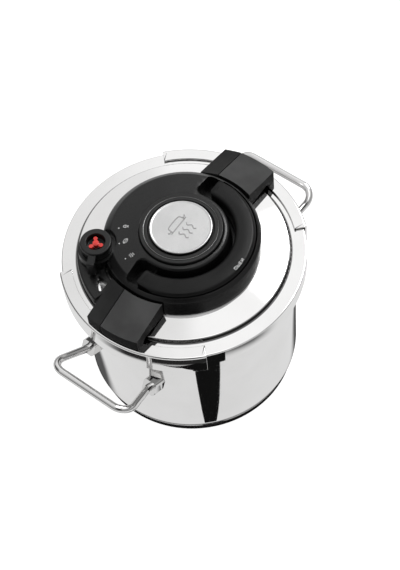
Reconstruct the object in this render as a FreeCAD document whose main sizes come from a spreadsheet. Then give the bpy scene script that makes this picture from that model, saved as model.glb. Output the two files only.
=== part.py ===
import FreeCAD, Part
import math, os
import Sketcher

# Clamp-lid pressure canner. Millimetres, +Z up, origin at the centre of the underside of the base.
# The two clamp jaws open along X; the folding arch handle lies on the -Y side; the steam valve is on the +Y side.

V = FreeCAD.Vector
doc = FreeCAD.newDocument("canner")
sheet = doc.addObject("Spreadsheet::Sheet", "Dims")


class Q:
    """A size: its value now, and the spreadsheet expression that produces it."""

    def __init__(self, value, text):
        self.v, self.text = float(value), text

    @staticmethod
    def of(x):
        return x if isinstance(x, Q) else Q(x, repr(float(x)))

    def __add__(self, o):
        o = Q.of(o)
        return Q(self.v + o.v, "(%s + %s)" % (self.text, o.text))

    def __sub__(self, o):
        o = Q.of(o)
        return Q(self.v - o.v, "(%s - %s)" % (self.text, o.text))

    def __mul__(self, o):
        o = Q.of(o)
        return Q(self.v * o.v, "(%s * %s)" % (self.text, o.text))

    def __neg__(self):
        return Q(-self.v, "(-1 * %s)" % self.text)

    def __radd__(self, o):
        return Q.of(o) + self

    def __rsub__(self, o):
        return Q.of(o) - self

    def __rmul__(self, o):
        return Q.of(o) * self


DIMENSIONS = [
    # pot
    ("pot_rad", 121.3), ("sheet_thk", 1.2), ("pot_floor", 9.2), ("corner_rad", 14.0),
    ("rim_rad", 130.5), ("rim_top", 184.0), ("rim_low", 180.2),
    ("cap_rad", 116.8), ("cap_lip", 118.9), ("cap_top", 13.6), ("core_rad", 111.0),
    # side handles
    ("tube_rad", 4.3), ("grip_reach", 68.5), ("grip_half", 54.0), ("grip_bend", 15.0),
    ("root_half", 43.0), ("root_radius", 114.5), ("root_height", 119.0), ("grip_tilt", 27.0), ("grip_turn", -2.5),
    # lid
    ("lid_rad", 134.0), ("lid_rim", 200.0), ("lid_skirt", 180.0), ("step_rad", 115.5), ("step_top", 204.8),
    ("flat_rad", 87.5), ("lid_flat", 208.6),
    # cover disc and its recess
    ("disc_rad", 86.8), ("disc_low", 208.9), ("disc_floor", 213.6), ("hub_bore", 48.4), ("hub_open", 45.4),
    ("trough_in", 51.5), ("trough_out", 81.3), ("trough_floor", 215.8), ("trough_end", 17.0),
    ("end_corner", 7.0), ("shoulder_rad", 4.2), ("shoulder_top", 239.7),
    # arch handle and its shaft
    ("arch_in", 57.3), ("arch_out", 79.9), ("arch_low", 218.5), ("arch_top", 236.8), ("arch_chord", 77.8),
    ("tip_in_rad", 6.0), ("tip_out_rad", 3.5),
    ("hinge_fwd", 0.0), ("hinge_up", 221.0), ("shaft_rad", 3.0), ("run_gap", 0.05),
    ("drum_rad", 6.5), ("drum_start", 16.0), ("drum_end", 42.0),
    ("jaw_travel", 13.0), ("pin_start", 22.0), ("pin_rad", 1.5),
    # clamp jaws and arms
    ("jaw_in", 123.0), ("jaw_out", 137.0), ("jaw_top", 203.0), ("jaw_low", 172.6), ("jaw_thk", 2.0),
    ("strap_low", 210.9), ("strap_thk", 2.0), ("strap_half", 20.0),
    ("arm_half", 32.5), ("arm_split", 12.5), ("arm_start", 88.4), ("arm_end", 133.6),
    ("arm_top_in", 229.0), ("arm_top_out", 218.0), ("arm_low", 209.4), ("arm_foot", 203.3), ("arm_drop", 4.5),
    # push button
    ("button_rad", 34.0), ("button_top", 246.4), ("button_low", 238.0),
    # steam valve
    ("valve_x", -61.0), ("valve_y", 68.9), ("knob_rad", 17.1), ("knob_top", 240.0), ("knob_low", 229.2),
    ("knob_hole", 10.3), ("collar_rad", 20.6), ("collar_top", 228.4), ("post_rad", 4.0),
]
D = {}
for row, (alias, value) in enumerate(DIMENSIONS, start=1):
    sheet.set("A%d" % row, alias)
    sheet.set("B%d" % row, repr(value))
    sheet.setAlias("B%d" % row, alias)
    D[alias] = Q(value, "Dims." + alias)
doc.recompute()

NODES = {}


def node(obj, name):
    obj.Label = name
    NODES[name] = obj
    return obj


# ---------------------------------------------------------------- sketches and bodies
def profile(body, plane, pts, name, closed=True, height=None):
    """A sketch through pts = (x, y[, corner radius]); every corner is held by its own spreadsheet sizes."""
    sk = body.newObject("Sketcher::SketchObject", name)
    origin = [f for f in body.Origin.OriginFeatures if f.Role == plane][0]
    sk.AttachmentSupport = (origin, [""])
    sk.MapMode = "FlatFace"
    if height is not None:
        sk.AttachmentOffset = FreeCAD.Placement(V(0, 0, height.v), FreeCAD.Rotation())
        sk.setExpression("AttachmentOffset.Base.z", height.text)
    add_outline(sk, pts, closed)
    return sk


def add_outline(sk, pts, closed=True):
    n = len(pts)
    xy = [V(Q.of(p[0]).v, Q.of(p[1]).v, 0) for p in pts]
    rad = [Q.of(p[2]) if len(p) > 2 else None for p in pts]
    if not closed:
        rad[0] = rad[-1] = None
    into, out, arcs = {}, {}, {}
    for i in range(n):
        if rad[i] is None:
            into[i] = out[i] = xy[i]
            continue
        a, b = (xy[i - 1] - xy[i]).normalize(), (xy[(i + 1) % n] - xy[i]).normalize()
        half = a.getAngle(b) / 2
        reach = rad[i].v / math.tan(half)
        into[i], out[i] = xy[i] + a * reach, xy[i] + b * reach
        centre = xy[i] + (a + b).normalize() * (rad[i].v / math.sin(half))
        t0 = math.atan2(into[i].y - centre.y, into[i].x - centre.x)
        t1 = math.atan2(out[i].y - centre.y, out[i].x - centre.x)
        sweep = (t1 - t0 + math.pi) % (2 * math.pi) - math.pi
        arcs[i] = (centre, (t0, t1) if sweep > 0 else (t1, t0), sweep > 0)
    lines = range(n if closed else n - 1)
    line_id = {i: sk.addGeometry(Part.LineSegment(out[i], into[(i + 1) % n]), False) for i in lines}
    arc_id = {}
    for i, (centre, span, ccw) in arcs.items():
        circle = Part.Circle(centre, V(0, 0, 1), rad[i].v)
        arc_id[i] = sk.addGeometry(Part.ArcOfCircle(circle, span[0], span[1]), False)
    rules, sizes = [], []

    def hold(geo, pos, i):
        for kind, axis, value in (("DistanceX", -2, Q.of(pts[i][0])), ("DistanceY", -1, Q.of(pts[i][1]))):
            if abs(value.v) < 1e-9:
                rules.append(Sketcher.Constraint("PointOnObject", geo, pos, axis))
            else:
                rules.append(Sketcher.Constraint(kind, -1, 1, geo, pos, value.v))
                sizes.append((len(rules) - 1, value))

    for i in range(n):
        prev, nxt = line_id.get((i - 1) % n), line_id.get(i)
        if not closed and i == 0:
            prev = None
        if rad[i] is None:
            if prev is not None and nxt is not None:
                rules.append(Sketcher.Constraint("Coincident", prev, 2, nxt, 1))
            hold(nxt if nxt is not None else prev, 1 if nxt is not None else 2, i)
            continue
        ccw = arcs[i][2]
        first, last = (1, 2) if ccw else (2, 1)
        rules.append(Sketcher.Constraint("Tangent", prev, 2, arc_id[i], first))
        rules.append(Sketcher.Constraint("Tangent", nxt, 1, arc_id[i], last))
        rules.append(Sketcher.Constraint("Radius", arc_id[i], rad[i].v))
        sizes.append((len(rules) - 1, rad[i]))
        corner = sk.addGeometry(Part.Point(xy[i]), True)
        rules.append(Sketcher.Constraint("PointOnObject", corner, 1, prev))
        rules.append(Sketcher.Constraint("PointOnObject", corner, 1, nxt))
        hold(corner, 1, i)
    base = sk.ConstraintCount
    sk.addConstraint(rules)
    for k, value in sizes:
        sk.setExpression("Constraints[%d]" % (base + k), value.text)


def circles(body, plane, items, name, height=None):
    """A sketch of circles, items = (x, y, radius)."""
    sk = body.newObject("Sketcher::SketchObject", name)
    origin = [f for f in body.Origin.OriginFeatures if f.Role == plane][0]
    sk.AttachmentSupport = (origin, [""])
    sk.MapMode = "FlatFace"
    if height is not None:
        sk.AttachmentOffset = FreeCAD.Placement(V(0, 0, height.v), FreeCAD.Rotation())
        sk.setExpression("AttachmentOffset.Base.z", height.text)
    for x, y, r in items:
        x, y, r = Q.of(x), Q.of(y), Q.of(r)
        geo = sk.addGeometry(Part.Circle(V(x.v, y.v, 0), V(0, 0, 1), r.v), False)
        for kind, axis, value in (("DistanceX", -2, x), ("DistanceY", -1, y)):
            if abs(value.v) < 1e-9:
                sk.addConstraint(Sketcher.Constraint("PointOnObject", geo, 3, axis))
            else:
                k = sk.addConstraint(Sketcher.Constraint(kind, -1, 1, geo, 3, value.v))
                sk.setExpression("Constraints[%d]" % k, value.text)
        k = sk.addConstraint(Sketcher.Constraint("Radius", geo, r.v))
        sk.setExpression("Constraints[%d]" % k, r.text)
    return sk


def new_body(name):
    return node(doc.addObject("PartDesign::Body", name), name)


def feature(body, kind, sketch, name, **props):
    f = body.newObject("PartDesign::" + kind, name)
    f.Profile = sketch
    for key, value in props.items():
        setattr(f, key, value.v if isinstance(value, Q) else value)
        if isinstance(value, Q):
            f.setExpression(key, value.text)
    sketch.Visibility = False
    body.Tip = f
    doc.recompute()
    return f


def turned(body, pts, name, cut=False, plane="XZ_Plane", angle=360.0, midplane=False):
    """Revolve a profile about the body's Z axis."""
    sk = profile(body, plane, pts, name + "_sketch")
    return feature(body, "Groove" if cut else "Revolution", sk, name,
                   ReferenceAxis=(sk, ["V_Axis"]), Angle=angle, Midplane=midplane)


def padded(body, plane, pts, name, length, height=None, midplane=False, reverse=False):
    sk = profile(body, plane, pts, name + "_sketch", height=height)
    return feature(body, "Pad", sk, name, Length=length, Midplane=midplane, Reversed=reverse)


def pocketed(body, plane, pts, name, length, height=None, midplane=False, reverse=False):
    before = body.Shape.Volume
    if len(pts[0]) == 3 and isinstance(pts, tuple):
        sk = circles(body, plane, pts, name + "_sketch", height)
    else:
        sk = profile(body, plane, pts, name + "_sketch", height=height)
    f = feature(body, "Pocket", sk, name, Length=length, Midplane=midplane, Reversed=reverse)
    if not body.Shape.Volume < before:
        raise RuntimeError("%s removed nothing" % name)
    return f


def grooved(body, pts, name, **kw):
    before = body.Shape.Volume
    f = turned(body, pts, name, cut=True, **kw)
    if not body.Shape.Volume < before:
        raise RuntimeError("%s removed nothing" % name)
    return f


def rect(x0, x1, y0, y1):
    return [(x0, y0), (x1, y0), (x1, y1), (x0, y1)]


def part(kind, name, **sizes):
    o = doc.addObject("Part::" + kind, name)
    for key, value in sizes.items():
        value = Q.of(value)
        setattr(o, key, value.v)
        o.setExpression(key, value.text)
    return o


def at(o, x=0, y=0, z=0, rot=None):
    x, y, z = Q.of(x), Q.of(y), Q.of(z)
    o.Placement = FreeCAD.Placement(V(x.v, y.v, z.v), rot or FreeCAD.Rotation())
    for axis, value in zip("xyz", (x, y, z)):
        o.setExpression("Placement.Base." + axis, value.text)
    return o


def join(name, objs, kind="MultiFuse"):
    o = doc.addObject("Part::" + kind, name)
    if kind == "Cut":
        o.Base, o.Tool = objs
    elif kind == "Compound":
        o.Links = objs
    else:
        o.Shapes = objs
    return o


ALONG_X = FreeCAD.Rotation(V(0, 1, 0), 90)
t = D["sheet_thk"]

# ---------------------------------------------------------------- pot
pot = new_body("pot_shell")
turned(pot, [
    (0, D["pot_floor"]), (D["pot_rad"], D["pot_floor"], D["corner_rad"]),
    (D["pot_rad"], D["rim_low"] - 2.7, 2.5), (D["rim_rad"], D["rim_low"], 0.8), (D["rim_rad"], D["rim_top"], 1.2),
    (D["pot_rad"] + 0.6, D["rim_top"], 1.0), (D["pot_rad"] - t, D["rim_low"], 2.0),
    (D["pot_rad"] - t, D["pot_floor"] + t, D["corner_rad"] - t), (0, D["pot_floor"] + t)], "wall")

core = new_body("base_core")
turned(core, [(0, 2.2), (D["core_rad"], 2.2), (D["core_rad"], D["pot_floor"] - 0.2), (0, D["pot_floor"] - 0.2)], "disc")

cap = new_body("base_cap")
turned(cap, [(0, 0), (D["cap_rad"], 0, 3.4), (D["cap_lip"], D["cap_top"]), (D["cap_lip"] - 0.9, D["cap_top"]),
             (D["cap_rad"] - 1.2, 2.0, 2.4), (0, 2.0)], "dish")


def grip(name, turn):
    """A bent tube handle in a plane that rises away from the pot wall."""
    b = new_body(name)
    root, reach = D["root_half"], D["grip_reach"]
    path = profile(b, "XY_Plane", [(2.5, root), (16.0, root, 8.0), (reach, D["grip_half"], D["grip_bend"]),
                                   (reach, -D["grip_half"], D["grip_bend"]), (16.0, -root, 8.0), (2.5, -root)],
                   "run", closed=False)
    end = b.newObject("Sketcher::SketchObject", "section")
    origin = [f for f in b.Origin.OriginFeatures if f.Role == "YZ_Plane"][0]
    end.AttachmentSupport, end.MapMode = (origin, [""]), "FlatFace"
    end.AttachmentOffset = FreeCAD.Placement(V(0, 0, 2.5), FreeCAD.Rotation())
    geo = end.addGeometry(Part.Circle(V(root.v, 0, 0), V(0, 0, 1), D["tube_rad"].v), False)
    end.addConstraint(Sketcher.Constraint("PointOnObject", geo, 3, -1))
    for kind, args, value in (("DistanceX", (-1, 1, geo, 3), root), ("Radius", (geo,), D["tube_rad"])):
        k = end.addConstraint(Sketcher.Constraint(kind, *args, value.v))
        end.setExpression("Constraints[%d]" % k, value.text)
    pipe = b.newObject("PartDesign::AdditivePipe", "tube")
    pipe.Profile, pipe.Spine = end, (path, [])
    b.Tip = pipe
    tilt = FreeCAD.Rotation(V(0, 1, 0), -D["grip_tilt"].v)
    swing = FreeCAD.Rotation(V(0, 0, 1), turn)
    b.Placement = FreeCAD.Placement(swing.multVec(V(D["root_radius"].v, 0, D["root_height"].v)), swing * tilt)
    doc.recompute()
    return b


def brackets(name, turn):
    """The two cast sockets that hold one handle's tube ends against the pot wall, cut to the wall's curve."""
    pair = []
    for k, side in enumerate((1, -1)):
        tag = "%s_%d" % (name, k)
        block = at(part("Box", tag + "_block", Length=17.0, Width=17.0, Height=17.0),
                   -3.0, side * D["root_half"] - 8.5, -8.5)
        hole = at(part("Cylinder", tag + "_hole", Radius=D["tube_rad"] + 0.1, Height=40.0),
                  2.3, side * D["root_half"], 0, ALONG_X)
        solid = join(tag + "_socket", [block, hole], "Cut")
        edges = [(i + 1, 3.5, 3.5) for i, e in enumerate(solid_edges(solid)) if e]
        soft = doc.addObject("Part::Fillet", tag + "_soft")
        soft.Base, soft.Edges = solid, edges
        pair.append(soft)
    both = join(name + "_pair", pair, "Compound")
    tilt = FreeCAD.Rotation(V(0, 1, 0), -D["grip_tilt"].v)
    swing = FreeCAD.Rotation(V(0, 0, 1), turn)
    both.Placement = FreeCAD.Placement(swing.multVec(V(D["root_radius"].v, 0, D["root_height"].v)), swing * tilt)
    wall = at(part("Cylinder", name + "_wall", Radius=D["pot_rad"] + 0.1, Height=D["rim_low"]), 0, 0, 0)
    doc.recompute()
    return node(join(name, [both, wall], "Cut"), name)


def solid_edges(obj):
    """True for each straight edge along X on the outside of the socket block."""
    doc.recompute()
    return [e.Curve.TypeId == "Part::GeomLine" and abs(e.tangentAt(e.FirstParameter).x) > 0.99
            for e in obj.Shape.Edges]


for word, turn in (("right", D["grip_turn"].v), ("left", 180 + D["grip_turn"].v)):
    grip("handle_" + word, turn)
    brackets("handle_brackets_" + word, turn)

# ---------------------------------------------------------------- lid
SCREWS = [(sx * 40.0, sy * 36.0) for sx in (1, -1) for sy in (1, -1)]
lid = new_body("lid_shell")
turned(lid, [
    (D["lid_rad"], D["lid_skirt"]), (D["lid_rad"], D["lid_rim"], 1.6), (D["step_rad"] + 0.9, D["lid_rim"], 0.9),
    (D["step_rad"] - 0.4, D["step_top"], 1.3), (D["flat_rad"], D["lid_flat"], 20.0), (5.2, D["lid_flat"]),
    (5.2, D["lid_flat"] - t), (D["flat_rad"] - 0.1, D["lid_flat"] - t), (D["step_rad"] - 1.4, D["step_top"] - t),
    (D["step_rad"] - 0.3, D["lid_rim"] - t), (D["lid_rad"] - t, D["lid_rim"] - t), (D["lid_rad"] - t, D["lid_skirt"])],
    "pressing")
pocketed(lid, "XY_Plane", tuple([(x, y, 2.2) for x, y in SCREWS] + [(D["valve_x"], D["valve_y"], 4.3), (30, 52, 5.4)]),
         "lid_holes", 30.0, height=D["lid_flat"] + 5)

gasket = new_body("gasket")
turned(gasket, [(122.5, D["rim_top"] + 0.4), (131.8, D["rim_top"] + 0.4), (131.8, D["lid_rim"] - 1.5),
                (122.5, D["lid_rim"] - 1.5), (122.5, 196.2), (129.4, 195.6), (129.4, 187.2), (122.5, 186.8)], "ring")

# ---------------------------------------------------------------- slide housing under the cover
slide_top = D["strap_low"] + D["strap_thk"]
base = new_body("slide_housing")
turned(base, [(8.0, D["disc_low"] - 0.1), (83.6, D["disc_low"] - 0.1), (83.6, D["strap_low"] - 0.2),
              (8.0, D["strap_low"] - 0.2)], "plate")
for sx in (1, -1):
    for sy in (1, -1):
        padded(base, "XY_Plane", rect(sx * 24.0, sx * 80.0, sy * (D["strap_half"] + 0.4), sy * (D["strap_half"] + 3.4)),
               "rail", 3.9, height=D["disc_low"] + 0.5)
pocketed(base, "XY_Plane", ((D["valve_x"], D["valve_y"], 23.0), (30, 52, 8.6)), "reliefs", 8.0, height=D["disc_low"] + 6)
pocketed(base, "XY_Plane", tuple((x, y, 2.2) for x, y in SCREWS), "base_screw_holes", 8.0, height=D["disc_low"] + 6)

# ---------------------------------------------------------------- round cover with the recess for the arch handle
cover = new_body("disc_cover")
turned(cover, [
    (D["hub_open"], D["disc_low"]), (D["disc_rad"], D["disc_low"], 0.6), (D["disc_rad"] - 1.6, 229.0, 1.6),
    (D["disc_rad"] - 4.0, 231.6, 1.4), (76.5, D["arch_top"], 4.0), (D["hub_open"] + 0.6, 240.7, 0.5),
    (D["hub_open"], 240.0)], "dome")
grooved(cover, rect(30.0, 84.4, D["disc_low"] - 3, D["disc_floor"]), "under")
grooved(cover, rect(30.0, D["hub_bore"], D["disc_low"] - 3, 238.0), "hub_room")
grooved(cover, [(47.0, D["disc_low"] - 3), (66.0, D["disc_low"] - 3), (66.0, 234.0), (50.6, 236.0), (50.6, 214.0),
                (47.0, 214.0)], "back_room", plane="YZ_Plane", angle=92.0, midplane=True)
grooved(cover, [(6.0 - D["trough_in"], 246.0), (6.0 - D["trough_in"], D["shoulder_top"] + 1.3),
                (-D["trough_in"], D["shoulder_top"], D["shoulder_rad"]), (-D["trough_in"], D["trough_floor"], 3.0),
                (-D["trough_out"], D["trough_floor"], 3.0), (-D["trough_out"], 246.0)], "trough",
        plane="YZ_Plane", angle=180.0, midplane=True)


def soft_edge(wall, s):
    """Section of the soft upper edge of a recess wall; the recess lies on the s side of the wall."""
    top = D["shoulder_top"]
    return [(wall + s * 2.0, 232.0), (wall, 232.0), (wall, top, D["shoulder_rad"]), (wall - s * 6.0, top + 1.3),
            (wall - s * 6.0, 246.0), (wall + s * 2.0, 246.0)]


for s in (1, -1):
    pocketed(cover, "XY_Plane", [(s * D["trough_in"], -1.0), (s * (D["trough_out"] - 1.7), -1.0),
                                 (s * (D["trough_out"] - 1.7), D["trough_end"], 4.0),
                                 (s * D["trough_in"], D["trough_end"], D["end_corner"])],
             "trough_end", 250.0 - D["trough_floor"], height=Q(250.0, "250"))
    run, turn_x = D["trough_end"] - D["end_corner"], D["trough_in"] + D["end_corner"]
    pocketed(cover, "XZ_Plane", soft_edge(s * D["trough_in"], s), "soft_run", run)
    sk = profile(cover, "XZ_Plane", soft_edge(-s * D["end_corner"], s), "soft_corner_sketch", height=-run)
    sk.AttachmentOffset = FreeCAD.Placement(V(s * turn_x.v, 0, -run.v), FreeCAD.Rotation())
    sk.setExpression("AttachmentOffset.Base.x", (s * turn_x).text)
    feature(cover, "Groove", sk, "soft_corner", ReferenceAxis=(sk, ["V_Axis"]), Angle=90.0, Reversed=s > 0)
    pocketed(cover, "YZ_Plane", soft_edge(D["trough_end"], -1), "soft_end", 74.0 - turn_x,
             height=Q(74.0, "74") if s > 0 else -turn_x)
pocketed(cover, "XY_Plane", ((D["valve_x"], D["valve_y"], D["collar_rad"] + 1.8),), "valve_notch", 60.0,
         height=Q(250.0, "250"))
pocketed(cover, "YZ_Plane", rect(-D["strap_half"] - 0.6, D["strap_half"] + 0.6, D["disc_low"] - 4, D["disc_floor"] - 0.2),
         "strap_slots", 220.0, midplane=True)
pocketed(cover, "YZ_Plane", ((D["hinge_fwd"], D["hinge_up"], D["shaft_rad"] + D["run_gap"]),), "shaft_bores", 106.0,
         midplane=True)

ring = new_body("hub_ring")
turned(ring, [
    (34.6, 236.4), (D["hub_open"] - 0.2, 236.4), (D["hub_open"] - 0.2, 244.0, 1.2), (41.0, 244.0, 0.4), (41.0, 242.5),
    (39.8, 242.5), (39.8, 244.4, 0.4), (36.4, 244.4, 0.5), (35.4, 242.6), (34.6, 242.6)], "collar")
trim = new_body("trim_ring")
turned(trim, [(40.0, 242.7), (40.8, 242.7), (40.8, 244.4, 0.35), (40.0, 244.4, 0.35)], "hoop")
guide = new_body("button_guide")
turned(guide, [(4.7, 229.4), (D["hub_bore"] - 0.2, 229.4), (D["hub_bore"] - 0.2, 236.0), (D["hub_bore"] - 1.8, 236.0),
               (D["hub_bore"] - 1.8, 231.2), (4.7, 231.2)], "plate")


# ---------------------------------------------------------------- fixings
def hexagon(name, across, height, bore, x, y, z):
    prism = part("Prism", name + "_hex", Circumradius=across / math.sqrt(3), Height=height)
    prism.Polygon = 6
    at(prism, x, y, z)
    return join(name, [prism, at(part("Cylinder", name + "_bore", Radius=bore, Height=height + 2), x, y, Q.of(z) - 1)],
                "Cut")


bolt = new_body("centre_bolt")
turned(bolt, [(0, 201.6), (4.0, 201.6), (4.0, 211.0), (7.0, 211.0), (7.0, 214.4, 1.0), (0, 214.4)], "stud")
node(hexagon("centre_nut", 15.0, 4.6, 4.1, 0, 0, 202.7), "centre_nut")

screws = []
for k, (x, y) in enumerate(SCREWS):
    shank = at(part("Cylinder", "screw_shank_%d" % k, Radius=2.0, Height=8.3), x, y, 204.2)
    head = at(part("Cone", "screw_head_%d" % k, Radius1=2.6, Radius2=3.8, Height=2.2), x, y, 205.0)
    screws.append(join("screw_%d" % k, [shank, head]))
node(join("housing_screws", screws, "Compound"), "housing_screws")

relief = hexagon("relief_hex", 15.0, 3.4, 2.0, 30, 52, 203.7)
barrel = at(part("Cylinder", "relief_barrel", Radius=5.0, Height=11.6), 30, 52, 201.4)
node(join("safety_valve", [relief, barrel]), "safety_valve")

# ---------------------------------------------------------------- arch handle, shaft and cam drums
arch = doc.addObject("PartDesign::Body", "arch_blank")
turned(arch, [
    (-D["arch_in"], D["arch_low"], 1.5), (-D["arch_out"], D["arch_low"], 1.5), (-D["arch_out"], D["arch_top"] - 0.4, 5.0),
    (-68.6, D["arch_top"] + 0.5, 60.0), (-D["arch_in"], D["arch_top"] + 0.4, 4.5)], "arc",
    plane="YZ_Plane", angle=200.0, midplane=True)
pocketed(arch, "YZ_Plane", ((D["hinge_fwd"], D["hinge_up"], D["shaft_rad"] + 0.02),), "hinge_bore", 150.0, midplane=True)
tip_round = D["arch_top"] - D["hinge_up"] + 0.2
beyond = at(part("Box", "tip_beyond", Length=200.0, Width=60.0, Height=60.0), -100.0, D["hinge_fwd"], 200.0)
keep = at(part("Cylinder", "tip_keep", Radius=tip_round, Height=200.0), -100.0, D["hinge_fwd"], D["hinge_up"], ALONG_X)
corner = join("tip_corner", [beyond, keep], "Cut")
flat = at(part("Box", "tip_flat", Length=200.0, Width=60.0, Height=60.0), -100.0, D["hinge_fwd"] + 4.0, 200.0)
sides = [at(part("Box", "chord_%d" % k, Length=40.0, Width=80.0, Height=60.0), x, -50.0, 200.0)
         for k, x in enumerate((D["arch_chord"], -D["arch_chord"] - 40.0))]


def round_corner(name, x, y, radius, outward):
    """What rounding one upright corner of the handle's end, seen from above, takes away."""
    block = at(part("Box", name + "_block", Length=radius + 1, Width=radius + 1, Height=60.0),
               x - 1 if outward < 0 else x - radius, y - radius, 200.0)
    core = at(part("Cylinder", name + "_core", Radius=radius, Height=60.0), x - outward * radius, y - radius, 200.0)
    return join(name, [block, core], "Cut")


for s, word in ((1, "right"), (-1, "left")):
    sides.append(round_corner("inner_corner_" + word, s * D["arch_in"], D["hinge_fwd"] + 4.0, D["tip_in_rad"], -s))
    sides.append(round_corner("outer_corner_" + word, s * D["arch_chord"], D["hinge_fwd"] + 4.0, D["tip_out_rad"], s))
node(join("arch_handle", [arch, join("arch_waste", [corner, flat] + sides)], "Cut"), "arch_handle")

shaft = at(part("Cylinder", "hinge_shaft", Radius=D["shaft_rad"], Height=149.0), -74.5, D["hinge_fwd"], D["hinge_up"],
           ALONG_X)
node(shaft, "hinge_shaft")


def drum(word, side):
    """A cam drum: a quarter turn of the shaft drives the follower pin outwards by the jaw's travel."""
    b = new_body("cam_drum_" + word)
    length = D["drum_end"] - D["drum_start"]
    sk = circles(b, "XY_Plane", ((0, 0, D["drum_rad"]), (0, 0, D["shaft_rad"] + 0.02)), "drum_sketch")
    feature(b, "Pad", sk, "drum", Length=length)
    before = b.Shape.Volume
    lead = D["jaw_travel"] * 4
    lap = 0.1
    half = 3.9
    first = D["pin_start"] - D["drum_start"] - lead * lap
    cutter = profile(b, "XZ_Plane", rect(D["drum_rad"] - 2.6, D["drum_rad"] + 2.0, first - half, first + half), "cam_sketch")
    cam = b.newObject("PartDesign::SubtractiveHelix", "cam")
    cam.Profile = cutter
    cam.ReferenceAxis = (cutter, ["V_Axis"])
    cam.Mode = 0
    cam.Pitch, cam.Height = lead.v, lead.v * (0.25 + 2 * lap)
    cam.setExpression("Pitch", lead.text)
    cam.setExpression("Height", (lead * (0.25 + 2 * lap)).text)
    cam.LeftHanded = side < 0
    cutter.Visibility = False
    b.Tip = cam
    doc.recompute()
    if not b.Shape.Volume < before:
        raise RuntimeError("cam groove removed nothing")
    # Local Z becomes the outward direction; local +X (the start of the groove) is turned to sit lap turns before -Z.
    outward = FreeCAD.Rotation(V(0, 1, 0), 90 if side > 0 else -90)
    start = FreeCAD.Rotation(V(1, 0, 0), -360.0 * lap)
    facing = FreeCAD.Rotation() if side > 0 else FreeCAD.Rotation(V(1, 0, 0), 180)
    b.Placement = FreeCAD.Placement(V(side * D["drum_start"].v, D["hinge_fwd"].v, D["hinge_up"].v),
                                    start * facing * outward)
    doc.recompute()
    return b


for word, side in (("right", 1), ("left", -1)):
    drum(word, side)


# ---------------------------------------------------------------- clamp jaws
def bevel_outer_top(arm, name, s):
    """The narrow half of an arm falls away towards its outer side."""
    fall_out = (D["arm_top_in"].v - D["arm_top_out"].v + 3.7) / 60.0
    fall_side = D["arm_drop"].v / (D["arm_half"].v - D["arm_split"].v)
    lean = FreeCAD.Rotation(V(0, 0, 1), V(s * fall_out, fall_side, 1))
    wedge = part("Box", name + "_wedge", Length=120.0, Width=80.0, Height=30.0)
    ridge = V(s * 110.0, D["arm_split"].v, D["arm_top_in"].v + 2.0 - 30.0 * fall_out)
    wedge.Placement = FreeCAD.Placement(ridge - lean.multVec(V(60, 40, 0)), lean)
    arm.Label = name + "_blank"
    return node(join(name, [arm, wedge], "Cut"), name)


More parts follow.
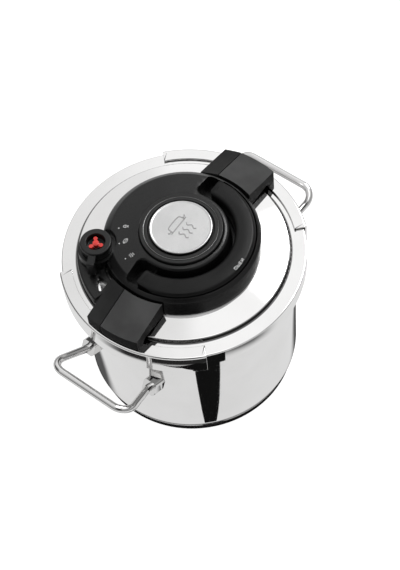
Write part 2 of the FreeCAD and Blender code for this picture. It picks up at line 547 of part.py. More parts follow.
def clamp(word, s):
    th = D["jaw_thk"]
    jaw = new_body("jaw_" + word)
    turned(jaw, [(s * D["jaw_in"], D["jaw_top"]), (s * D["jaw_out"], D["jaw_top"], 2.4), (s * D["jaw_out"], D["jaw_low"], 2.6),
                 (s * 126.4, 176.4), (s * 126.9, 178.2), (s * (D["jaw_out"] - th), D["jaw_low"] + 2.4, 0.8),
                 (s * (D["jaw_out"] - th), D["jaw_top"] - th, 0.6), (s * D["jaw_in"], D["jaw_top"] - th)], "channel",
           angle=90.0, midplane=True)
    pocketed(jaw, "XY_Plane", tuple((s * 126.0, y, 2.2) for y in (-13, 13)), "rivet_holes", 6.0, height=D["jaw_top"] + 3)

    strap = new_body("slide_strap_" + word)
    top = D["strap_low"] + D["strap_thk"]
    low = D["jaw_top"] + 0.1
    padded(strap, "XZ_Plane", [(s * 14.0, D["strap_low"]), (s * 117.0, D["strap_low"], 1.0), (s * 121.0, low, 3.0),
                               (s * 129.3, low), (s * 129.3, low + D["strap_thk"]),
                               (s * 122.4, low + D["strap_thk"], 1.0), (s * 118.4, top, 3.0), (s * 14.0, top)], "bar",
           D["strap_half"] * 2, midplane=True)
    pocketed(strap, "XY_Plane", tuple((s * 126.0, y, 2.2) for y in (-13, 13)), "strap_holes", 8.0, height=low + 5)
    pocketed(strap, "XY_Plane", ((s * D["pin_start"], D["hinge_fwd"], D["pin_rad"] + 0.02),), "pin_hole", 8.0,
             height=top + 2)

    pin = at(part("Cylinder", "follower_pin_" + word, Radius=D["pin_rad"], Height=5.5), s * D["pin_start"], D["hinge_fwd"],
             D["strap_low"] + 0.1)
    node(pin, "follower_pin_" + word)

    rivets = []
    for k, y in enumerate((-13, 13)):
        shank = at(part("Cylinder", "rivet_shank_%s_%d" % (word, k), Radius=2.0, Height=5.6), s * 126.0, y, 200.6)
        head = at(part("Cylinder", "rivet_head_%s_%d" % (word, k), Radius=3.2, Height=1.4), s * 126.0, y, 205.3)
        rivets.append(join("rivet_%s_%d" % (word, k), [shank, head]))
    node(join("jaw_rivets_" + word, rivets, "Compound"), "jaw_rivets_" + word)

    for name, y0, y1 in (("arm_cover_", -D["arm_half"], D["arm_split"] - 0.5),
                         ("arm_side_", D["arm_split"] + 0.5, D["arm_half"])):
        arm = new_body(name + word)
        width = y1 - y0
        sk = profile(arm, "XZ_Plane", [
            (s * 80.0, D["arm_low"]), (s * 116.5, D["arm_low"], 2.0), (s * 120.0, D["arm_foot"], 1.0),
            (s * 140.0, D["arm_foot"]), (s * 140.0, D["arm_top_out"] - 1.7), (s * 80.0, D["arm_top_in"] + 2.0)],
            "side_sketch", height=-y1)
        feature(arm, "Pad", sk, "block", Length=width)
        pocketed(arm, "XY_Plane", ((0, 0, D["arm_start"]),), "inner_arc", 80.0, height=Q(250.0, "250"))
        grooved(arm, rect(D["arm_end"], 160.0, 190.0, 240.0), "outer_arc")
        room = rect(s * 70.0, s * 129.6, y0 + 4.0 if name == "arm_cover_" else y0 - 1.0,
                    y1 + 1.0 if name == "arm_cover_" else 21.2)
        pocketed(arm, "XY_Plane", room, "hollow", 60.0, height=Q(214.4, "214.4"))
        if name == "arm_side_":
            bevel_outer_top(arm, name + word, s)
    return jaw


clamp("right", 1)
clamp("left", -1)

# ---------------------------------------------------------------- push button
cap_b = new_body("button_cap")
turned(cap_b, [(0, 243.2), (D["button_rad"], 243.2), (D["button_rad"], D["button_top"] - 0.1, 0.9), (0, D["button_top"])], "face")
stem = new_body("button_body")
turned(stem, [(0, 228.2), (4.3, 228.2), (4.3, D["button_low"]), (33.8, D["button_low"]), (33.8, 243.1), (0, 243.1)], "plunger")

coil = doc.addObject("Part::Helix", "coil_path")
coil.Pitch, coil.Height, coil.Radius = 1.9, 5.2, 9.0
at(coil, 0, 0, 232.0)
wire_end = doc.addObject("Part::Circle", "coil_section")
wire_end.Radius = 0.55
wire_end.Placement = FreeCAD.Placement(V(9.0, 0, 232.0), FreeCAD.Rotation(V(1, 0, 0), 90))
spring = doc.addObject("Part::Sweep", "button_spring")
spring.Sections, spring.Spine, spring.Solid, spring.Frenet = [wire_end], (coil, []), True, True
node(spring, "button_spring")

# ---------------------------------------------------------------- steam valve
wing = new_body("valve_housing")
turned(wing, [(88.2, 209.0), (113.4, 205.5), (116.2, 205.5), (115.2, 213.2, 2.0), (88.2, 215.4, 1.5)], "wing",
       plane="YZ_Plane", angle=140.0, midplane=True)
pocketed(wing, "XY_Plane", [(-150, -50), (150, -50), (150, 154), (-109.9, 154), (-23.8, 33.4), (-150, 33.4)], "wing_ends", 60.0,
         height=Q(250.0, "250"))
collar = circles(wing, "XY_Plane", ((D["valve_x"], D["valve_y"], D["collar_rad"]),), "collar_sketch", Q(209.4, "209.4"))
feature(wing, "Pad", collar, "collar", Length=D["collar_top"] - 209.4)
pocketed(wing, "XY_Plane", ((D["valve_x"], D["valve_y"], D["post_rad"] + 0.3),), "post_bore", 60.0, height=Q(250.0, "250"))
pocketed(wing, "XY_Plane", [(-82.0, 56.0, 2.0), (-84.0, 38.5, 2.0), (-100.0, 38.5, 2.0)], "window", 60.0,
         height=Q(250.0, "250"))

post = new_body("valve_post")
turned(post, [(2.2, 198.0), (D["post_rad"], 198.0), (D["post_rad"], 231.8), (2.2, 231.8)], "tube")
at(post, D["valve_x"], D["valve_y"], 0)
node(hexagon("valve_nut", 14.0, 4.4, 4.1, D["valve_x"], D["valve_y"], 200.9), "valve_nut")

knob = new_body("valve_knob")
turned(knob, [(D["post_rad"] + D["run_gap"], D["knob_low"]), (D["knob_rad"] - 0.6, D["knob_low"]),
              (D["knob_rad"], D["knob_top"], 1.4), (D["knob_hole"], D["knob_top"], 1.0), (D["knob_hole"] - 0.6, 232.2, 1.0),
              (D["post_rad"] + D["run_gap"], 232.2)], "cup")
padded(knob, "XZ_Plane", [(14.0, 230.5), (22.5, 230.5, 1.0), (23.5, 218.0, 1.0), (28.5, 217.0, 1.0), (28.5, 236.0, 2.0),
                          (14.0, 238.6)], "lever", 8.0, midplane=True)
knob.Placement = FreeCAD.Placement(V(D["valve_x"].v, D["valve_y"].v, 0), FreeCAD.Rotation(V(0, 0, 1), 203.6))
knob.setExpression("Placement.Base.x", D["valve_x"].text)
knob.setExpression("Placement.Base.y", D["valve_y"].text)

lobes = [at(part("Cylinder", "indicator_pin", Radius=1.9, Height=16.0), 0, 0, 222.0),
         at(part("Cylinder", "indicator_hub", Radius=3.4, Height=4.6), 0, 0, 233.0)]
for k in range(3):
    turn = math.radians(40 + 120 * k)
    arm_box = part("Box", "indicator_arm_%d" % k, Length=6.2, Width=3.2, Height=3.6)
    spin = FreeCAD.Rotation(V(0, 0, 1), math.degrees(turn))
    arm_box.Placement = FreeCAD.Placement(spin.multVec(V(0, -1.6, 233.0)), spin)
    lobes.append(arm_box)
    lobes.append(at(part("Cylinder", "indicator_lobe_%d" % k, Radius=2.3, Height=3.9),
                    6.2 * math.cos(turn), 6.2 * math.sin(turn), 233.0))
indicator = at(join("red_indicator", lobes), D["valve_x"], D["valve_y"], 0)
node(indicator, "red_indicator")

# ---------------------------------------------------------------- check and write
doc.recompute()
bad = [o.Name for o in doc.Objects if "Invalid" in o.State or "Error" in o.State]
if bad:
    raise RuntimeError("features in error: %s" % ", ".join(bad))
os.makedirs("parts", exist_ok=True)
for name, obj in NODES.items():
    shape = obj.Shape
    if shape.isNull() or not shape.isValid() or not shape.Solids:
        raise RuntimeError("%s is not a valid solid" % name)
    shape.exportStep("parts/%s.step" % name)
    print("%-24s solids %d  volume %9.1f  z %.1f..%.1f" % (name, len(shape.Solids), shape.Volume,
                                                          shape.BoundBox.ZMin, shape.BoundBox.ZMax))
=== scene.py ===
import math

import bmesh
import bpy
from mathutils import Matrix, Vector
from mathutils.bvhtree import BVHTree


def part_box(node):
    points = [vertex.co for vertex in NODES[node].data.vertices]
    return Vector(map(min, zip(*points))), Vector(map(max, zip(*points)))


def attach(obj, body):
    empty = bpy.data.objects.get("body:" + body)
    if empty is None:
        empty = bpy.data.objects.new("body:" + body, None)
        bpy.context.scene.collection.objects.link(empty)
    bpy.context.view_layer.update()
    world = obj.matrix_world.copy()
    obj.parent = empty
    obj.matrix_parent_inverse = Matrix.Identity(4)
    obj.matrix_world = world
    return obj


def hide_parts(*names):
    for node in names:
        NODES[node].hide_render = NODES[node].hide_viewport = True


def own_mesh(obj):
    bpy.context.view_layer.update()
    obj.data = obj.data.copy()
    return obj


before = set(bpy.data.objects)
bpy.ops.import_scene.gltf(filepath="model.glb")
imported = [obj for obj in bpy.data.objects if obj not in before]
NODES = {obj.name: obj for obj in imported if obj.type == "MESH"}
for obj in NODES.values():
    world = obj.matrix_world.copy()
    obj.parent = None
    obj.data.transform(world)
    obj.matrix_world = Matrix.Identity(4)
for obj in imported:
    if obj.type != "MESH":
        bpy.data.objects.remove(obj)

MM = 0.001
FULL_TURN = 2 * math.pi
SIDES = ("right", "left")
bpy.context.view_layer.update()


# ---------------------------------------------------------------- camera
CAMERA_PLACE = Vector((-0.6639, -0.5765, 1.5216))
CAMERA_AHEAD = Vector((0.4079, 0.3434, -0.8460)).normalized()
CAMERA_RIGHT = Vector((0.5672, -0.8213, -0.0600)).normalized()
LENS_MM, SENSOR_MM = 92.09, 36.0


def add_camera():
    up = CAMERA_RIGHT.cross(CAMERA_AHEAD).normalized()
    data = bpy.data.cameras.new("camera")
    data.lens, data.sensor_width = LENS_MM, SENSOR_MM
    data.clip_start, data.clip_end = 0.05, 50.0
    cam = bpy.data.objects.new("camera", data)
    turn = Matrix((CAMERA_RIGHT, up, -CAMERA_AHEAD)).transposed()
    cam.matrix_world = Matrix.Translation(CAMERA_PLACE) @ turn.to_4x4()
    bpy.context.scene.collection.objects.link(cam)
    bpy.context.scene.camera = cam


add_camera()


# ---------------------------------------------------------------- node helpers
class Graph:
    """A short way to add shader nodes to one tree and join them."""

    def __init__(self, tree):
        self.tree = tree

    def add(self, kind, settings=None, **inputs):
        n = self.tree.nodes.new(kind)
        for key, value in (settings or {}).items():
            setattr(n, key, value)
        for key, value in inputs.items():
            self.feed(n, key, value)
        return n

    def feed(self, node, name, value):
        socket = node.inputs[int(name)] if name.isdigit() else node.inputs[name]
        self.set(socket, value)

    def set(self, socket, value):
        """Links a socket, or puts a plain value on it."""
        if isinstance(value, bpy.types.NodeSocket):
            self.tree.links.new(value, socket)
        else:
            socket.default_value = value

    def math(self, op, a, b=0.0):
        n = self.add("ShaderNodeMath", {"operation": op})
        self.feed(n, "0", a)
        self.feed(n, "1", b)
        return n.outputs[0]

    def plus(self, a, b):
        return self.math("ADD", a, b)

    def minus(self, a, b):
        return self.math("SUBTRACT", a, b)

    def times(self, a, b):
        return self.math("MULTIPLY", a, b)

    def ramp(self, value, low, high, out_low=0.0, out_high=1.0, smooth=True):
        n = self.add("ShaderNodeMapRange", {"interpolation_type": "SMOOTHSTEP" if smooth else "LINEAR"})
        for name, v in (("Value", value), ("From Min", low), ("From Max", high),
                        ("To Min", out_low), ("To Max", out_high)):
            self.feed(n, name, v)
        return n.outputs["Result"]

    def noise(self, vector, scale, detail=3.0, rough=0.5):
        n = self.add("ShaderNodeTexNoise", Vector=vector, Scale=scale, Detail=detail, Roughness=rough)
        return n.outputs["Fac"]

    def blend(self, factor, a, b):
        n = self.add("ShaderNodeMix", {"data_type": "RGBA"})
        for socket, v in ((n.inputs["Factor"], factor), (n.inputs[6], a), (n.inputs[7], b)):
            self.set(socket, v)
        return n.outputs[2]

    def stretched(self, vector, x, y, z):
        n = self.add("ShaderNodeMapping", Vector=vector)
        n.inputs["Scale"].default_value = (x, y, z)
        return n.outputs["Vector"]

    def xyz(self, vector):
        n = self.add("ShaderNodeSeparateXYZ", Vector=vector)
        return n.outputs["X"], n.outputs["Y"], n.outputs["Z"]

    def radius(self, x, y):
        return self.math("SQRT", self.plus(self.times(x, x), self.times(y, y)))


def grey(v, warm=0.0):
    return (v * (1 + warm), v, v * (1 - warm), 1.0)


def new_material(name, colour, metallic=0.0, **fixed):
    """A material with its shader, its node graph and its texture coordinates."""
    m = bpy.data.materials.new(name)
    m.use_nodes = True
    shader = m.node_tree.nodes["Principled BSDF"]
    shader.inputs["Base Color"].default_value = colour
    shader.inputs["Metallic"].default_value = metallic
    for key, value in fixed.items():
        shader.inputs[key.replace("_", " ")].default_value = value
    m.diffuse_color = colour
    coords = m.node_tree.nodes.new("ShaderNodeTexCoord").outputs
    return m, Graph(m.node_tree), shader, coords


def bump(g, shader, height, strength, distance):
    n = g.add("ShaderNodeBump", Height=height, Strength=strength, Distance=distance)
    g.feed(shader, "Normal", n.outputs["Normal"])


# ---------------------------------------------------------------- materials
def polished_steel(name, tone=0.86, gloss=0.02, spun=False, wave=0.1, painted_shade_crease=None):
    """Mirror-polished stainless: faint spin or polishing lines, a trace of waviness and of wiping marks.

    painted_shade_crease, on spun steel, is the radius in mm of a pressed corner where a dark band of
    painted shade is laid into the colour.
    """
    m, g, shader, coords = new_material(name, grey(tone, 0.004), 1.0, IOR=2.6)
    where = coords["Object"]
    if spun:
        x, y, _ = g.xyz(where)
        radius = g.radius(x, y)
        lines = g.noise(g.add("ShaderNodeCombineXYZ", X=radius).outputs["Vector"], 2600.0, 2.0)
    else:
        lines = g.noise(g.stretched(where, 1.0, 1.0, 0.04), 2400.0, 2.0)
    wipe = g.noise(where, 16.0, 4.0, 0.6)
    soft = g.plus(g.ramp(lines, 0.3, 0.7, 0.0, 0.02), g.ramp(wipe, 0.35, 0.75, gloss, gloss + 0.03))
    g.feed(shader, "Roughness", soft)
    colour = g.blend(g.ramp(wipe, 0.3, 0.8), grey(tone, 0.004), grey(tone * 0.95, 0.006))
    if painted_shade_crease:
        # Painted shade: the colour turns near black in a band round the pressed corner's radius.
        off = g.math("ABSOLUTE", g.minus(radius, painted_shade_crease * MM))
        colour = g.blend(g.ramp(off, 0.9 * MM, 2.0 * MM, 0.88, 0.0), colour, grey(0.02))
    g.feed(shader, "Base Color", colour)
    height = g.plus(g.times(lines, 0.02), g.noise(where, 38.0, 1.0))
    bump(g, shader, height, wave, 0.4 * MM)
    return m


def moulded_plastic(name, tone, rough, grain, depth, gloss, side_shade_tone=None):
    """Moulded black plastic with a fine spark-eroded texture, slightly paler where hands rub it.

    grain is the texture's scale and depth its height in mm. side_shade_tone is a painted shade: the darker
    tone given to faces that turn sideways, where a part has it.
    """
    m, g, shader, coords = new_material(name, grey(tone), 0.0, IOR=1.5, Specular_IOR_Level=gloss)
    fine = g.noise(coords["Object"], grain, 4.0, 0.65)
    broad = g.noise(coords["Object"], 22.0, 3.0)
    colour = g.blend(g.ramp(broad, 0.3, 0.7), grey(tone * 0.85), grey(tone * 1.25))
    if side_shade_tone:
        # Painted shade: faces turning sideways take the darker tone, faces looking up keep the lighter one.
        _, _, upwards = g.xyz(coords["Normal"])
        colour = g.blend(g.ramp(upwards, 0.35, 0.85), grey(side_shade_tone), colour)
    g.feed(shader, "Base Color", colour)
    g.feed(shader, "Roughness", g.plus(g.ramp(fine, 0.3, 0.7, rough - 0.04, rough + 0.05),
                                       g.ramp(broad, 0.3, 0.7, -0.02, 0.03)))
    bump(g, shader, fine, 0.35, depth * MM)
    return m


def blasted_metal(name, tone, rough, grain=5200.0):
    """Bead-blasted metal: an even fine grain with a broad, faint change of tone."""
    m, g, shader, coords = new_material(name, grey(tone), 1.0, IOR=2.4)
    fine = g.noise(coords["Object"], grain, 3.0, 0.7)
    broad = g.noise(coords["Object"], 60.0, 3.0)
    g.feed(shader, "Roughness", g.ramp(fine, 0.25, 0.75, rough - 0.05, rough + 0.08))
    g.feed(shader, "Base Color", g.blend(g.ramp(broad, 0.3, 0.7), grey(tone * 0.97), grey(tone * 1.03)))
    bump(g, shader, fine, 0.4, 0.06 * MM)
    return m


def simple_finish(name, colour, metallic, rough, grain, **fixed):
    """A finish of one colour that a fine grain darkens and roughens a little."""
    m, g, shader, coords = new_material(name, colour, metallic, **fixed)
    fine = g.noise(coords["Object"], grain, 3.0, 0.6)
    dark = tuple(c * 0.86 for c in colour[:3]) + (1.0,)
    g.feed(shader, "Base Color", g.blend(g.ramp(fine, 0.3, 0.7), colour, dark))
    g.feed(shader, "Roughness", g.ramp(fine, 0.3, 0.7, rough * 0.85, rough * 1.2))
    bump(g, shader, fine, 0.15, 0.04 * MM)
    return m


STEEL_POT = polished_steel("steel_pot", gloss=0.03)
# The lid gets a band of painted shade round its pressed step at 116.8 mm.
STEEL_LID = polished_steel("steel_lid", 0.88, 0.025, spun=True, painted_shade_crease=116.8)
STEEL_JAW = polished_steel("steel_jaw")
STEEL_TUBE = polished_steel("steel_tube", 0.76, wave=0.05)
STEEL_BASE = polished_steel("steel_base", 0.80, 0.12, spun=True)
# The arm covers carry painted shade on their sideways faces.
BLACK_ARM = moulded_plastic("black_textured", 0.060, 0.62, 2400.0, 0.20, 0.08, side_shade_tone=0.010)
# Painted shade: the narrow arm pieces get a darker copy of the arm plastic.
SHADED_BLACK_SIDE = moulded_plastic("black_side_painted_shade", 0.024, 0.60, 2400.0, 0.08, 0.05)
BLACK_COVER = moulded_plastic("black_satin", 0.006, 0.25, 3600.0, 0.03, 0.36)
BLACK_ARCH = moulded_plastic("black_arch", 0.007, 0.30, 3600.0, 0.03, 0.15)
DARK_TRIM = moulded_plastic("dark_trim", 0.007, 0.32, 4200.0, 0.03, 0.32)
BUTTON = blasted_metal("button_blasted", 0.52, 0.28)
ETCHED = blasted_metal("button_etched", 0.34, 0.24)
TRIM = blasted_metal("trim_bright", 0.24, 0.20)
HIDDEN = blasted_metal("fixing_steel", 0.55, 0.35, 1800.0)
BLUED = blasted_metal("shaft_blackened", 0.05, 0.42, 1800.0)
CORE = simple_finish("core_aluminium", grey(0.72), 1.0, 0.4, 900.0)
SILICONE = simple_finish("gasket_silicone", grey(0.42), 0.0, 0.6, 700.0)
BRASS = simple_finish("valve_brass", (0.66, 0.46, 0.18, 1.0), 1.0, 0.3, 1500.0)
RED = simple_finish("indicator_red", (0.72, 0.018, 0.010, 1.0), 0.0, 0.16, 1400.0,
                    Coat_Weight=0.6, Coat_Roughness=0.08)
PRINT = simple_finish("print_white", grey(0.62), 0.0, 0.5, 2500.0)
PRINT_BRIGHT = simple_finish("print_bright", grey(0.90), 0.0, 0.5, 2500.0)

FINISH = {
    "pot_shell": STEEL_POT, "base_core": CORE, "base_cap": STEEL_BASE, "lid_shell": STEEL_LID,
    "gasket": SILICONE, "slide_housing": DARK_TRIM, "disc_cover": BLACK_COVER, "hub_ring": DARK_TRIM,
    "trim_ring": TRIM, "button_guide": DARK_TRIM, "centre_bolt": HIDDEN, "centre_nut": HIDDEN,
    "housing_screws": HIDDEN, "safety_valve": BRASS, "valve_housing": BLACK_COVER, "valve_post": HIDDEN,
    "valve_nut": HIDDEN, "arch_handle": BLACK_ARCH, "hinge_shaft": BLUED, "button_body": DARK_TRIM,
    "button_spring": HIDDEN, "button_cap": BUTTON, "valve_knob": DARK_TRIM, "red_indicator": RED,
}
SIDE_FINISH = {
    "handle_": STEEL_TUBE, "handle_brackets_": STEEL_TUBE, "cam_drum_": DARK_TRIM, "jaw_": STEEL_JAW,
    "slide_strap_": HIDDEN, "follower_pin_": HIDDEN, "jaw_rivets_": HIDDEN, "arm_cover_": BLACK_ARM,
    "arm_side_": SHADED_BLACK_SIDE,
}
for side in SIDES:
    FINISH.update({name + side: material for name, material in SIDE_FINISH.items()})
for name, material in FINISH.items():
    for slot in NODES[name].material_slots:
        slot.material = material


# ---------------------------------------------------------------- softened edges
def soften(name, width, segments=3):
    """Breaks a CAD node's sharp edges by a small real radius in mm."""
    o = NODES[name]
    weld = o.modifiers.new("weld", "WELD")
    weld.merge_threshold = 0.004 * MM
    edge = o.modifiers.new("edge", "BEVEL")
    edge.width, edge.segments = width * MM, segments
    edge.limit_method, edge.angle_limit = "ANGLE", math.radians(35.0)
    edge.harden_normals = True
    edge.use_clamp_overlap = True


for side in SIDES:
    soften("arm_cover_" + side, 0.7)
    soften("arm_side_" + side, 0.7)
    soften("jaw_" + side, 0.35)
soften("disc_cover", 0.8)
soften("arch_handle", 1.2, 4)
soften("valve_housing", 0.4)
soften("valve_knob", 0.4)


# ---------------------------------------------------------------- new pieces
def finish_piece(name, bm, body, material, smooth=False):
    """Turns a bmesh into an object that rides on a body."""
    mesh = bpy.data.meshes.new(name)
    bmesh.ops.recalc_face_normals(bm, faces=bm.faces)
    bm.to_mesh(mesh)
    bm.free()
    for p in mesh.polygons:
        p.use_smooth = smooth
    mesh.materials.append(material)
    o = bpy.data.objects.new(name, mesh)
    bpy.context.scene.collection.objects.link(o)
    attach(o, body)
    return o


def surface_of(o):
    return BVHTree.FromPolygons([v.co for v in o.data.vertices], [p.vertices for p in o.data.polygons])


def join_rings(bm, rings):
    """Faces between closed rings of equally many points."""
    for a, b in zip(rings, rings[1:]):
        count = len(a)
        for k in range(count):
            bm.faces.new((a[k], a[(k + 1) % count], b[(k + 1) % count], b[k]))


# ---------------------------------------------------------------- printed and raised marks
PRINT_HEIGHT = 0.04      # how far a printed mark stands above its surface, mm
MARK_ROOT = 0.05         # how far every mark reaches into its surface, mm


def smooth_line(points, steps=6):
    """Catmull-Rom points through the given ones."""
    pts = [Vector(p) for p in points]
    if len(pts) < 3:
        return pts
    closed = (pts[0] - pts[-1]).length < 1e-6
    out = []
    for i in range(len(pts) - 1):
        a = pts[i - 1] if i else (pts[-2] if closed else pts[0])
        b, c = pts[i], pts[i + 1]
        d = pts[i + 2] if i + 2 < len(pts) else (pts[1] if closed else pts[-1])
        for k in range(steps):
            t = k / steps
            out.append(0.5 * (2 * b + (c - a) * t + (2 * a - 5 * b + 4 * c - d) * t * t
                              + (3 * b - a - 3 * c + d) * t ** 3))
    out.append(pts[-1])
    return out


def ribbon(bm, line, width, place, height, surface):
    """One closed strip along a line in mm; place puts a mark's own (x, y) in the object's XY plane."""
    rows = []
    for i, p in enumerate(line):
        along = (line[min(i + 1, len(line) - 1)] - line[max(i - 1, 0)]).normalized()
        across = Vector((-along.y, along.x)) * (width / 2)
        row = []
        for q in (p + across, p - across):
            x, y = place(q)
            hit = surface.ray_cast(Vector((x * MM, y * MM, 0.5)), Vector((0, 0, -1)))[0]
            row += [bm.verts.new(hit + Vector((0, 0, height * MM))),
                    bm.verts.new(hit - Vector((0, 0, MARK_ROOT * MM)))]
        rows.append(row)
    for (a0, a1, a2, a3), (b0, b1, b2, b3) in zip(rows, rows[1:]):
        for quad in ((a0, a2, b2, b0), (a1, b1, b3, a3), (a0, b0, b1, a1), (a2, a3, b3, b2)):
            bm.faces.new(quad)
    for (c0, c1, c2, c3) in (rows[0], rows[-1]):
        bm.faces.new((c0, c1, c3, c2))


def mark(name, lines, width, place, height, surface, body, material):
    bm = bmesh.new()
    for line in lines:
        ribbon(bm, line, width, place, height, surface)
    return finish_piece(name, bm, body, material)


def placed(radius, azimuth, turn):
    """Puts a mark's origin at (radius, azimuth) from the object's axis with its own +Y at azimuth turn."""
    a, t = math.radians(azimuth), math.radians(turn - 90)
    ox, oy = radius * math.cos(a), radius * math.sin(a)

    def place(p):
        x, y = p
        return ox + x * math.cos(t) - y * math.sin(t), oy + x * math.sin(t) + y * math.cos(t)
    return place


DOT = [[(math.cos(k * math.pi / 4) * 0.35, math.sin(k * math.pi / 4) * 0.35) for k in range(9)]]
STEAM = [
    [(-1.8, -2.2), (-1.0, -0.8), (-2.0, 0.6), (-1.2, 2.2)],
    [(0.2, -2.6), (1.0, -0.9), (0.0, 0.7), (0.8, 2.5)],
    [(2.2, -1.8), (2.9, -0.6), (2.1, 0.6), (2.7, 1.8)],
]
LEAF = [
    [(-2.6, -2.2), (-0.8, -0.6), (0.8, 0.9), (2.2, 2.4)],
    [(-2.6, -2.2), (-2.4, 0.4), (-0.4, 2.2), (2.2, 2.4), (2.0, -0.2), (0.2, -1.9), (-2.6, -2.2)],
]
FISH = [
    [(-2.9, 0.0), (-1.2, 1.5), (0.8, 1.2), (2.0, 0.0), (3.1, 1.4)],
    [(-2.9, 0.0), (-1.2, -1.5), (0.8, -1.2), (2.0, 0.0), (3.1, -1.4)],
    [(-0.6, 1.0), (-0.1, 0.0), (-0.6, -1.0)],
]
LETTERS = [
    [(-7.6, -1.3), (-7.6, 1.3), (-5.0, 1.3), (-5.0, -1.3), (-7.6, -1.3)],
    [(-3.4, -1.5), (-3.4, 1.3), (-1.0, 1.3), (-1.0, 0.0), (-3.4, 0.0)],
    [(3.0, 1.3), (0.6, 1.3), (0.6, -1.3), (3.0, -1.3)],
    [(0.6, 0.0), (2.6, 0.0)],
    [(4.6, -1.5), (4.6, 1.4), (7.2, -1.4), (7.2, 1.5)],
]
DOT_RADIUS, ICON_RADIUS, WORD_RADIUS = 67.4, 60.2, 75.0     # from the object's axis, mm


def cover_prints():
    """Three dots with a steam, a leaf and a fish icon, which the valve's lever points to."""
    cover = surface_of(NODES["disc_cover"])
    settings = ((153.7, 153.5, STEAM), (136.0, 135.0, LEAF), (119.0, 117.0, FISH))
    for index, (dot_at, icon_at, icon) in enumerate(settings):
        mark("print_dot_%d" % index, [smooth_line(s) for s in DOT], 0.8,
             placed(DOT_RADIUS, dot_at, dot_at), PRINT_HEIGHT, cover, "pot", PRINT)
        mark("print_icon_%d" % index, [smooth_line(s) for s in icon], 0.62,
             placed(ICON_RADIUS, icon_at, dot_at - 90), PRINT_HEIGHT, cover, "pot", PRINT)


def round_arc(p):
    """The word follows the crescent's curve, read from outside the lid."""
    r, a = WORD_RADIUS + 1.1 * p[1], math.radians(-90.7) + p[0] / WORD_RADIUS
    return r * math.cos(a), r * math.sin(a)


def divided(stroke, step=0.8):
    out = []
    for a, b in zip(stroke, stroke[1:]):
        a, b = Vector(a), Vector(b)
        n = max(1, round((b - a).length / step))
        out += [a.lerp(b, k / n) for k in range(n)]
    return out + [Vector(stroke[-1])]


cover_prints()
mark("print_open", [divided(s) for s in LETTERS], 0.45, round_arc, PRINT_HEIGHT,
     surface_of(NODES["arch_handle"]), "arch", PRINT_BRIGHT)


# ---------------------------------------------------------------- the push button
BUTTON_STEPS = 160
WAVES = [[(x - 0.9, 2.0), (x + 1.3, 4.6), (x - 1.2, 8.6), (x + 1.1, 12.4), (x - 0.2, 15.2)]
         for x in (-7.0, 0.0, 7.0)]
BOWL = [
    [(-13.5, -2.6), (13.5, -2.6)],
    [(-10.6, -2.6), (-10.2, -7.6), (-8.6, -9.6), (0.0, -10.2), (8.6, -9.6), (10.2, -7.6), (10.6, -2.6)],
    [(-10.4, -4.6), (-14.0, -4.8), (-14.4, -6.4)],
    [(10.4, -4.6), (14.0, -4.8), (14.4, -6.4)],
]


def button_face():
    """The blasted cap: a rolled edge, a shallow turned-down face and a raised pot-and-steam mark."""
    lo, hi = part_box("button_cap")
    edge, top, under = hi.x, hi.z, lo.z
    flat_z = top - 0.30 * MM
    profile = [(edge * 0.5, flat_z), (edge - 3.0 * MM, flat_z), (edge - 2.5 * MM, flat_z),
               (edge - 2.2 * MM, top - 0.26 * MM), (edge - 1.7 * MM, top - 0.05 * MM),
               (edge - 1.2 * MM, top), (edge - 0.7 * MM, top - 0.03 * MM),
               (edge - 0.2 * MM, top - 0.35 * MM), (edge, top - 0.9 * MM), (edge, under)]
    bm = bmesh.new()
    turns = [FULL_TURN * k / BUTTON_STEPS for k in range(BUTTON_STEPS)]
    rings = [[bm.verts.new((r * math.cos(t), r * math.sin(t), z)) for t in turns] for r, z in profile]
    join_rings(bm, rings)
    for z, ring in ((flat_z, rings[0]), (under, rings[-1])):
        centre = bm.verts.new((0, 0, z))
        for k in range(BUTTON_STEPS):
            bm.faces.new((centre, ring[k], ring[(k + 1) % BUTTON_STEPS]))
    face = finish_piece("button_face", bm, "button", BUTTON, smooth=True)
    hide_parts("button_cap")
    read_from_back = placed(0.0, 0.0, -90.0)
    mark("button_mark", [smooth_line(s) for s in WAVES + BOWL], 1.3, read_from_back, 0.26,
         surface_of(face), "button", ETCHED)


def spring_coil():
    """The button's return spring: a round wire wound in a helix, shortened by the button."""
    lo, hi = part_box("button_spring")
    wire, turns, per_turn, around = 0.5 * MM, 4, 32, 8
    radius = min(hi.x, hi.y) - 1.2 * MM
    bottom, top = lo.z + wire, hi.z - wire
    steps = turns * per_turn
    bm = bmesh.new()
    rings = []
    for k in range(steps + 1):
        a = FULL_TURN * k / per_turn
        z = bottom + (top - bottom) * k / steps
        ring = []
        for j in range(around):
            t = FULL_TURN * j / around
            r = radius + wire * math.cos(t)
            ring.append(bm.verts.new((r * math.cos(a), r * math.sin(a), z + wire * math.sin(t))))
        rings.append(ring)
    join_rings(bm, rings)
    for end in (rings[0], rings[-1]):
        bm.faces.new(end)
    coil = finish_piece("spring_coil", bm, "pot", HIDDEN, smooth=True)
    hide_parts("button_spring")
    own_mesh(coil)


button_face()
spring_coil()


# ---------------------------------------------------------------- studio
FLOOR_HALF = 6.0         # m
TABLE_GLOW = 0.78        # how bright the table looks in the polished steel
FLAG_FRONT = ((131.7, -139.4), (201.6, -142.0), (222.0, -143.0), (232.0, -150.0), (242.0, -165.0),
              (250.0, -140.0), (250.0, -119.0), (226.0, -120.5), (208.7, -122.2), (170.0, -126.2),
              (129.2, -133.0))                             # radius mm, azimuth


def stage_mesh(name, verts, faces, material):
    mesh = bpy.data.meshes.new(name)
    mesh.from_pydata(verts, [], faces)
    mesh.materials.append(material)
    o = bpy.data.objects.new(name, mesh)
    bpy.context.scene.collection.objects.link(o)
    return o


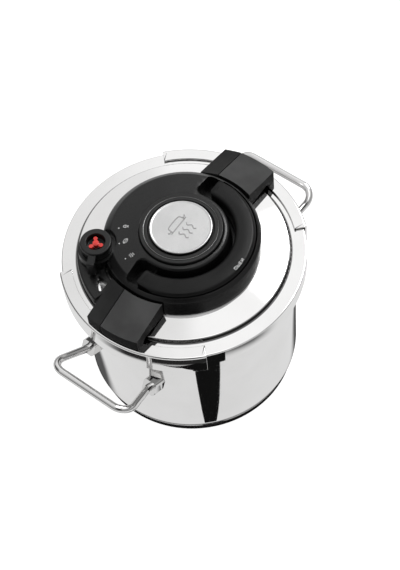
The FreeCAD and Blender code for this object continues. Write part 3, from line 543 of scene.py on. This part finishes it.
def floor():
    m, g, shader, coords = new_material("floor_white", grey(0.30), 0.0, Emission_Strength=0.95)
    shader.inputs["Emission Color"].default_value = grey(1.0)
    shader.inputs["Specular IOR Level"].default_value = 0.0
    g.feed(shader, "Roughness", g.ramp(g.noise(coords["Object"], 3.0), 0.3, 0.7, 0.85, 0.95))
    h = FLOOR_HALF
    o = stage_mesh("floor", [(-h, -h, 0), (h, -h, 0), (h, h, 0), (-h, h, 0)], [(0, 1, 2, 3)], m)
    o.visible_glossy = o.visible_diffuse = False


def only_in_reflections(o):
    """A studio flag: the camera and the shadows don't see it, the polished steel does."""
    o.visible_camera = o.visible_diffuse = o.visible_shadow = False
    o.visible_transmission = o.visible_volume_scatter = False


def glow(name):
    m = bpy.data.materials.new(name)
    m.use_nodes = True
    g = Graph(m.node_tree)
    m.node_tree.nodes.remove(m.node_tree.nodes["Principled BSDF"])
    light = g.add("ShaderNodeEmission")
    m.node_tree.links.new(light.outputs[0], m.node_tree.nodes["Material Output"].inputs[0])
    return m, g, light


def table_top():
    """What the pot mirrors: shade under the base, a pale table and a dark ring from about 240 to 275 mm."""
    m, g, light = glow("table_glow")
    x, y, _ = g.xyz(m.node_tree.nodes.new("ShaderNodeTexCoord").outputs["Object"])
    radius = g.radius(x, y)

    def share_towards(ux, uy):
        """The cosine between a point's own direction and (ux, uy)."""
        return g.math("DIVIDE", g.plus(g.times(x, ux), g.times(y, uy)), radius)

    # The dark ring lies only on one side of the table, and a little farther out at its middle.
    front = share_towards(-0.819, -0.574)
    ring = g.ramp(g.minus(radius, g.times(front, 0.031)), 0.207, 0.219)
    ring = g.times(ring, g.ramp(radius, 0.268, 0.285, 1.0, 0.0))
    ring = g.times(ring, g.ramp(front, 0.30, 0.75))
    level = g.ramp(ring, 0.0, 1.0, TABLE_GLOW, 0.02, smooth=False)
    level = g.times(level, g.ramp(radius, 0.1205, 0.1290, 0.02, 1.0))
    # Behind the pot and at its sides the table next to it lies in the pot's own shade.
    shade = g.minus(radius, g.times(g.ramp(share_towards(0.669, 0.743), -0.6, 0.3), 0.044))
    level = g.times(level, g.ramp(shade, 0.112, 0.128, 0.12, 1.0))
    g.feed(light, "Strength", level)
    steps = 96
    verts = [(r * math.cos(FULL_TURN * k / steps), r * math.sin(FULL_TURN * k / steps), 0.6 * MM)
             for r in (0.02, FLOOR_HALF) for k in range(steps)]
    faces = [(k, (k + 1) % steps, steps + (k + 1) % steps, steps + k) for k in range(steps)]
    only_in_reflections(stage_mesh("table_top", verts, faces, m))


def black_flag(name, corners):
    """A black card lying on the table; corners are (radius mm, azimuth)."""
    m, _, light = glow(name)
    light.inputs["Strength"].default_value = 0.006
    verts = [(r * MM * math.cos(math.radians(a)), r * MM * math.sin(math.radians(a)), 1.2 * MM)
             for r, a in corners]
    only_in_reflections(stage_mesh(name, verts, [tuple(range(len(verts)))], m))


def sky():
    """A soft white tent: darker low down and on one side, with one brighter panel on the right."""
    world = bpy.data.worlds.new("studio")
    bpy.context.scene.world = world
    world.use_nodes = True
    g = Graph(world.node_tree)
    out = world.node_tree.nodes["Background"]
    way = g.add("ShaderNodeTexCoord").outputs["Generated"]

    def lobe(direction, low, high, out_low, out_high):
        """A ramp over the cosine between the sky's direction and this one."""
        n = g.add("ShaderNodeVectorMath", {"operation": "DOT_PRODUCT"})
        g.feed(n, "0", way)
        n.inputs[1].default_value = Vector(direction).normalized()
        return g.ramp(n.outputs["Value"], low, high, out_low, out_high)

    x, y, height = g.xyz(way)
    level = lobe((-0.695, 0.719, 0.0), -0.05, 0.05, 1.04, 0.86)
    level = g.times(level, lobe((0.41, 0.34, 0.85), 0.30, 0.80, 0.50, 1.0))
    level = g.times(level, g.ramp(height, 0.02, 0.45, 0.24, 1.0))
    level = g.plus(level, lobe((-0.14, -0.12, 0.983), 0.955, 0.985, 0.0, 0.8))      # soft light overhead
    level = g.plus(level, lobe((0.615, -0.02, 0.788), 0.965, 0.990, 0.0, 10.0))     # panel on the right
    # A darker band runs round the front at about 33 degrees, with a dark patch above and below it.
    band = g.math("ABSOLUTE", g.minus(g.minus(height, g.times(x, 0.085)), 0.545))
    band = g.math("MAXIMUM", g.ramp(band, 0.045, 0.075, 0.22, 1.0), g.ramp(y, -0.35, -0.10, 0.0, 1.0))
    level = g.times(level, band)
    level = g.times(level, lobe((-0.644, -0.372, 0.669), 0.915, 0.965, 1.0, 0.05))
    level = g.times(level, lobe((-0.31, 0.852, 0.423), 0.87, 0.96, 1.0, 0.25))      # darker left side
    g.feed(out, "Strength", level)
    out.inputs["Color"].default_value = (1.0, 1.0, 1.0, 1.0)


floor()
table_top()
black_flag("flag_front", FLAG_FRONT)
sky()
bpy.context.scene.view_settings.view_transform = "Standard"
